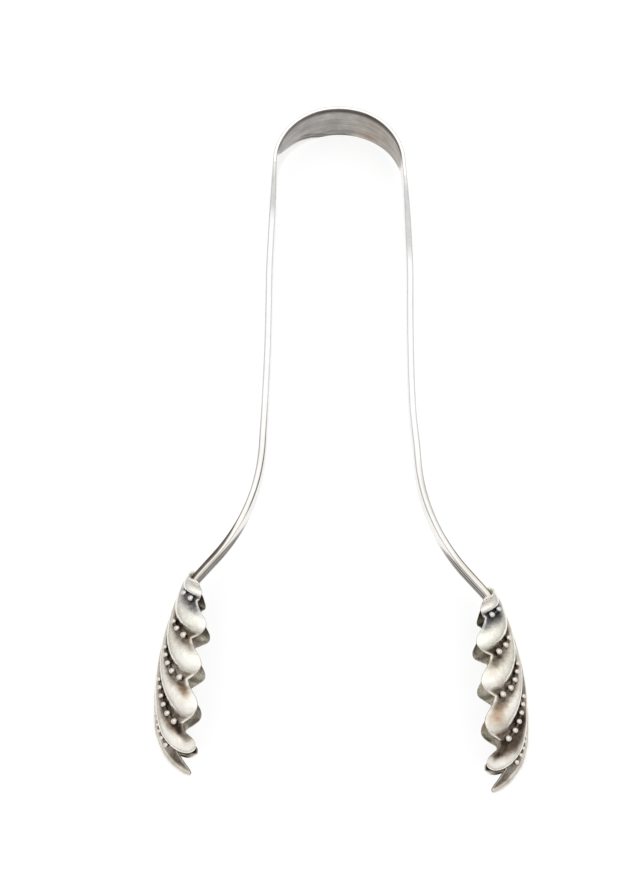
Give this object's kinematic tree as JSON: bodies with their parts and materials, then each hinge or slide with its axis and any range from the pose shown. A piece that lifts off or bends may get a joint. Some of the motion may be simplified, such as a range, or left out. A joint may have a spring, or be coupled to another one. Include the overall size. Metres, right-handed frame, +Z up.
{
  "type": "serving tongs",
  "caption": "Silver serving tongs: a sprung U-shaped bow, two flat arms that flare out, and fluted scallop-shell claws with rows of graduated beads.",
  "frame": {"origin": "middle of the box round the tongs, on the surface that they lie on", "axes": "+Y along the tongs from the claws to the bow, +X to the right seen from above, +Z up, along the width of the strip"},
  "size_m": [0.0878, 0.1756, 0.014],
  "materials": {
    "bow_silver": "polished silver with fine lengthwise wear marks",
    "arm_silver": "polished silver",
    "shell_silver": "polished silver on the flutes, brown tarnish in the valleys",
    "bead_silver": "polished silver"
  },
  "bodies": {
    "bow": {"spring_bow": "bow_silver"},
    "left_side": {"left_arm": "arm_silver", "left_shell_claw": "shell_silver", "left_upper_bead_row_1": "bead_silver", "left_upper_bead_row_2": "bead_silver", "left_upper_bead_row_3": "bead_silver", "left_upper_bead_row_4": "bead_silver", "left_upper_bead_row_5": "bead_silver", "left_lower_bead_row_1": "bead_silver", "left_lower_bead_row_2": "bead_silver", "left_lower_bead_row_3": "bead_silver", "left_lower_bead_row_4": "bead_silver", "left_lower_bead_row_5": "bead_silver"},
    "right_side": {"right_arm": "arm_silver", "right_shell_claw": "shell_silver", "right_upper_bead_row_1": "bead_silver", "right_upper_bead_row_2": "bead_silver", "right_upper_bead_row_3": "bead_silver", "right_upper_bead_row_4": "bead_silver", "right_upper_bead_row_5": "bead_silver", "right_lower_bead_row_1": "bead_silver", "right_lower_bead_row_2": "bead_silver", "right_lower_bead_row_3": "bead_silver", "right_lower_bead_row_4": "bead_silver", "right_lower_bead_row_5": "bead_silver"}
  },
  "joints": [
    {"name": "left_arm_flex", "type": "hinge", "parent": "bow", "child": "left_side", "pos_m": [-0.01031, 0.08231, 0.007], "axis": [0, 0, 1], "range_deg": [-3, 11], "stiffness_Nm_per_rad": 2, "deforming": ["spring_bow"]},
    {"name": "right_arm_flex", "type": "hinge", "parent": "bow", "child": "right_side", "pos_m": [0.01031, 0.08231, 0.007], "axis": [0, 0, -1], "range_deg": [-3, 11], "stiffness_Nm_per_rad": 2, "deforming": ["spring_bow"]}
  ]
}
